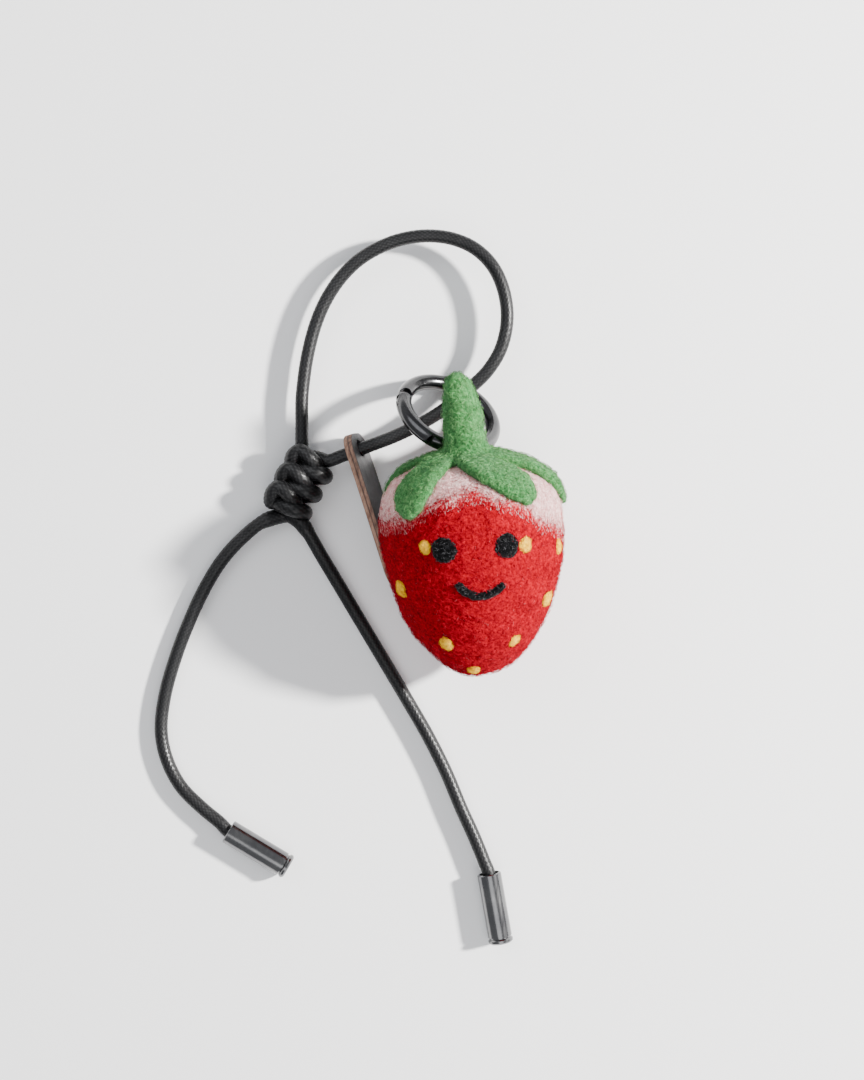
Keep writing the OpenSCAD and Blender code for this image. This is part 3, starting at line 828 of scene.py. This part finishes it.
def bake(piece):
    """Apply the piece's modifiers."""
    graph = bpy.context.evaluated_depsgraph_get()
    mesh = bpy.data.meshes.new_from_object(piece.evaluated_get(graph))
    old = piece.data
    piece.modifiers.clear()
    piece.data = mesh
    bpy.data.meshes.remove(old)


def make_calyx():
    parts = stem_balls()
    for leaf in LEAVES:
        parts += leaf_balls(leaf)
    points, faces = joined(parts)
    calyx = new_piece("felt_calyx", points, faces, GREEN_FELT)
    remesh = calyx.modifiers.new("remesh", "REMESH")
    remesh.mode = "VOXEL"
    remesh.voxel_size = 0.36 * MM
    smooth = calyx.modifiers.new("smooth", "SMOOTH")
    smooth.factor = 0.5
    smooth.iterations = 9
    bake(calyx)
    mesh = calyx.data
    normals = [v.normal.copy() for v in mesh.vertices]
    for v, normal in zip(mesh.vertices, normals):
        p = v.co / MM
        v.co = clear_of_ring(p + normal * layered(p, CALYX_LUMPS)) * MM
    mesh.update()
    mesh.shade_smooth()
    mesh.materials.clear()
    mesh.materials.append(GREEN_FELT)
    leaves = ["leaf_front_left", "leaf_front_right", "leaf_right", "leaf_back", "leaf_left"]
    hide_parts("calyx_hub", "stem", *leaves)
    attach(calyx, "berry")
    return calyx


# ---------------------------------------------------------------- loose fibres
def strand(path, radius):
    """A thin closed three-sided strand that runs out to a point at both ends."""
    sides = 3
    points = [path[0]]
    for (_, side, up), p in list(zip(frames_along(path), path))[1:-1]:
        for k in range(sides):
            a = 2 * math.pi * k / sides
            points.append(p + side * (radius * math.cos(a)) + up * (radius * math.sin(a)))
    points.append(path[-1])
    return points, spindle_faces(sides, len(path) - 2)


def surface_samples(piece, count, seed, keep=None):
    """Points and normals spread evenly over a mesh, in millimetres."""
    mesh = piece.data
    rng = random.Random(seed)
    polygons = [q for q in mesh.polygons if keep is None or keep(q.center / MM)]
    total, sums = 0.0, []
    for q in polygons:
        total += q.area
        sums.append(total)
    out = []
    at = 0
    places = sorted(rng.random() * total for _ in range(count))
    for place in places:
        while sums[at] < place:
            at += 1
        q = polygons[at]
        corners = [mesh.vertices[i].co for i in q.vertices]
        weights = [rng.random() + 0.05 for _ in corners]
        whole = sum(weights)
        p = sum((c * (w / whole) for c, w in zip(corners, weights)), Vector())
        out.append((p / MM, q.normal.copy()))
    rng.shuffle(out)
    return out


def fibres(name, piece, count, seed, length, lift, material, slot, keep=None, lay=None, radius=0.032):
    """Loose wool over a piece of the berry: short curly strands that lie on it and lift a little."""
    rng = random.Random(seed)
    parts, tones = [], []
    for p, normal in surface_samples(piece, count, seed, keep):
        direction = Vector((rng.gauss(0, 1), rng.gauss(0, 1), rng.gauss(0, 1)))
        if lay is not None:
            direction = lay + direction * 0.45
        direction = (direction - normal * direction.dot(normal)).normalized()
        across = normal.cross(direction)
        long = length * rng.uniform(0.5, 1.4)
        bend = rng.gauss(0, 0.4)
        high = lift * rng.uniform(0.1, 1) ** 2
        path = []
        for k in range(5):
            t = k / 4 - 0.5
            sag = (t * long) ** 2 / 40
            wave = bend * long * (t * t - 0.1)
            rise = high * (1 - 3.4 * t * t) + 0.05 - sag
            path.append(above_floor(p + direction * (t * long) + across * wave + normal * rise))
        thick, tone = radius * rng.uniform(0.6, 1.3), rng.random()
        if any(in_ring_way(q) for q in path[::2]):
            continue
        parts.append(strand(path, thick))
        tones += [tone] * len(parts[-1][0])
    points, faces = joined(parts)
    hair = new_piece(name, points, faces, material)
    add_weight(hair, "tone", tones)
    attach(hair, "berry")


def over_edge(p):
    """Height above the pink wool's lower edge."""
    local = BERRY_TURN.transposed() @ (p - BERRY_AT)
    return local.z - pink_edge(math.degrees(math.atan2(local.x, -local.y)))


berry = make_berry()
face = make_face()
seeds = make_seeds()
calyx = make_calyx()
TOWARDS_TIP = BERRY_TURN @ Vector((0, 0, -1))
for part, seed in (("red_fibres", 5), ("red_fuzz", 15)):
    fibres(part, berry, 9500, seed, 1.2, 0.55, RED_STRANDS, "red_wool", lambda p: over_edge(p) < 1)
fibres("pink_fibres", berry, 6500, 6, 1.2, 0.5, PINK_STRANDS, "pink_wool", lambda p: over_edge(p) > 0.5)
fibres(
    "pink_streaks", berry, 1800, 8, 0.9, 0.2, PINK_STRANDS, "pink_wool",
    lambda p: -2.5 < over_edge(p) < 2, TOWARDS_TIP, 0.022,
)
fibres(
    "red_streaks", berry, 1500, 9, 0.9, 0.2, RED_STRANDS, "red_wool",
    lambda p: 0 < over_edge(p) < 3.5, TOWARDS_TIP, 0.022,
)
fibres(
    "pale_fibres", berry, 500, 10, 1.0, 0.4, ROSE_STRANDS, "pink_wool",
    lambda p: over_edge(p) < 0, radius=0.016,
)
fibres("green_fibres", calyx, 9500, 7, 1.2, 0.5, GREEN_STRANDS, "green_felt")
for k, piece in enumerate(face):
    fibres(piece.name + "_fibres", piece, 800, 60 + k, 0.6, 0.3, BLACK_STRANDS_WITH_PAINTED_GLINTS, "black_felt", radius=0.024)
for k, piece in enumerate(seeds):
    fibres(piece.name + "_fibres", piece, 1800, 70 + k, 0.8, 0.25, YELLOW_STRANDS, "yellow_felt")

# ---------------------------------------------------------------- metal, core and tag
RING_METAL = ["ring_frame", "gate_arm", "gate_pin"]
CAP_METAL = ["cap_left_tube", "cap_left_plug", "cap_right_tube", "cap_right_plug"]
CAD_LOOKS = [
    (RING_METAL, BLACK_GUNMETAL),
    (CAP_METAL, GUNMETAL),
    (["gate_spring", "screw_eye"], WIRE_STEEL),
    (["cord_bead_left", "cord_bead_right"], BRAID),
    (["wool_core"], PLAIN_WOOL),
]
for names, material in CAD_LOOKS:
    for name in names:
        for slot in frame["nodes"][name].material_slots:
            slot.material = material

TAG_AT = placed(-21.9, 17.2, 5.6)
TAG_TURN = Matrix.Rotation(math.radians(16), 3, "Z") @ Matrix.Rotation(math.radians(90 - 16), 3, "Y")
TAG_LEN, TAG_W, PLY_T, TAG_CORNER = 36, 11, 1.0, 4
TAG_HOLE_R, TAG_HOLE_IN = 2.0, 3.5
TAG_SHIFT, TAG_SLOPE, TAG_BOW = -0.35, 1.2, 0.1  # how the real tag leans and bows off the CAD's flat plies
PLY_GAP = 0.03
# Rings of points over one face of a ply: share of the way from hole to edge, depth below the face, rawness
FACE_RINGS = [
    (0, 0.1, 0), (0.02, 0, 0), (0.3, 0, 0), (0.6, 0, 0), (0.9, 0, 0), (0.985, 0, 0), (0.995, 0.03, 0.3),
    (1, 0.22, 1),
]


def rounded_tag():
    """The tag's outline, evenly spaced, as points across and along."""
    half, top, bottom = TAG_W / 2 - TAG_CORNER, TAG_HOLE_IN - TAG_CORNER, TAG_HOLE_IN - TAG_LEN + TAG_CORNER
    corners = [(half, top, 0), (-half, top, 90), (-half, bottom, 180), (half, bottom, 270)]
    points = []
    for x, y, start in corners:
        for k in range(13):
            a = math.radians(start + 90 * k / 12)
            points.append((x + TAG_CORNER * math.cos(a), y + TAG_CORNER * math.sin(a)))
    dense = []
    for p, q in zip(points, points[1:] + points[:1]):
        gap = math.dist(p, q)
        parts = max(1, round(gap / 0.5))
        dense += [(p[0] + (q[0] - p[0]) * k / parts, p[1] + (q[1] - p[1]) * k / parts) for k in range(parts)]
    return dense


def make_ply(name, low, high, material, replaced):
    """One ply: rings of points from the hole out to the rounded edge and back, slightly bowed."""
    rim = rounded_tag()
    count = len(rim)
    hole = []
    for x, y in rim:
        a = math.atan2(y, x)
        hole.append((TAG_HOLE_R * math.cos(a), TAG_HOLE_R * math.sin(a)))
    rings = [(share, high - depth, raw) for share, depth, raw in FACE_RINGS]
    rings.append((1, (low + high) / 2, 1))
    rings += [(share, low + depth, raw) for share, depth, raw in reversed(FACE_RINGS)]
    points, edge = [], []
    for share, z, raw in rings:
        for (hx, hy), (rx, ry) in zip(hole, rim):
            x, y = hx + (rx - hx) * share, hy + (ry - hy) * share
            down = (TAG_HOLE_IN - y) / TAG_LEN
            bow = TAG_SHIFT + TAG_SLOPE * down + TAG_BOW * math.sin(math.pi * down)
            rough = lumps((x, y, z), 0.5, 0.07, 31) if raw else 0
            points.append(TAG_AT + TAG_TURN @ Vector((x * (1 + rough / 6), y, z + bow)))
            edge.append(raw)
    faces = []
    for j in range(len(rings)):
        nj = (j + 1) % len(rings)
        for i in range(count):
            n = (i + 1) % count
            faces.append((j * count + i, nj * count + i, nj * count + n, j * count + n))
    ply = new_piece(name, points, faces, material)
    add_weight(ply, "edge", edge)
    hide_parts(replaced)
    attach(ply, "tag")


make_ply("tag_face_right", PLY_GAP, PLY_T, DARK_LEATHER, "tag_ply_right")
make_ply("tag_face_left", -PLY_T, -PLY_GAP, BROWN_LEATHER, "tag_ply_left")


# ---------------------------------------------------------------- stage and light
def floor_material():
    look = Look("pale_floor", Roughness=0.5, Specular_IOR_Level=0.3)
    place = look.node("ShaderNodeTexCoord").outputs["Object"]
    cloud = look.noise(place, 8.0, 3.0)
    look.set("Base Color", look.ramp(cloud, [(0.3, (0.9, 0.9, 0.905)), (0.7, (0.92, 0.92, 0.92))]))
    return look.material


FLOOR_HALF = 1500
FLOOR_CORNERS = [(x * FLOOR_HALF, y * FLOOR_HALF, 0) for x, y in ((-1, -1), (1, -1), (1, 1), (-1, 1))]
floor = new_piece("floor", FLOOR_CORNERS, [(0, 1, 2, 3)], floor_material())


def area_light(name, at, target, size, power, colour=(1, 1, 1)):
    data = bpy.data.lights.new(name, "AREA")
    data.shape = "DISK"
    data.size = size
    data.energy = power
    data.color = colour
    light = bpy.data.objects.new(name, data)
    light.location = at
    light.rotation_euler = (Vector(target) - Vector(at)).to_track_quat("-Z", "Y").to_euler()
    bpy.context.scene.collection.objects.link(light)


area_light("key", (0.8, 0.17, 0.56), (0, 0, 0), 0.09, 44.0, (1, 0.985, 0.96))
area_light("fill", (-0.5, 0.5, 0.9), (0, 0, 0), 0.9, 5.0, (0.95, 0.97, 1))
area_light("top", (0.1, -0.5, 0.9), (0, 0, 0), 0.8, 4.0)
world = bpy.data.worlds.new("studio")
world.use_nodes = True
world.node_tree.nodes["Background"].inputs["Color"].default_value = (0.93, 0.95, 1, 1)
world.node_tree.nodes["Background"].inputs["Strength"].default_value = 0.46
bpy.context.scene.world = world
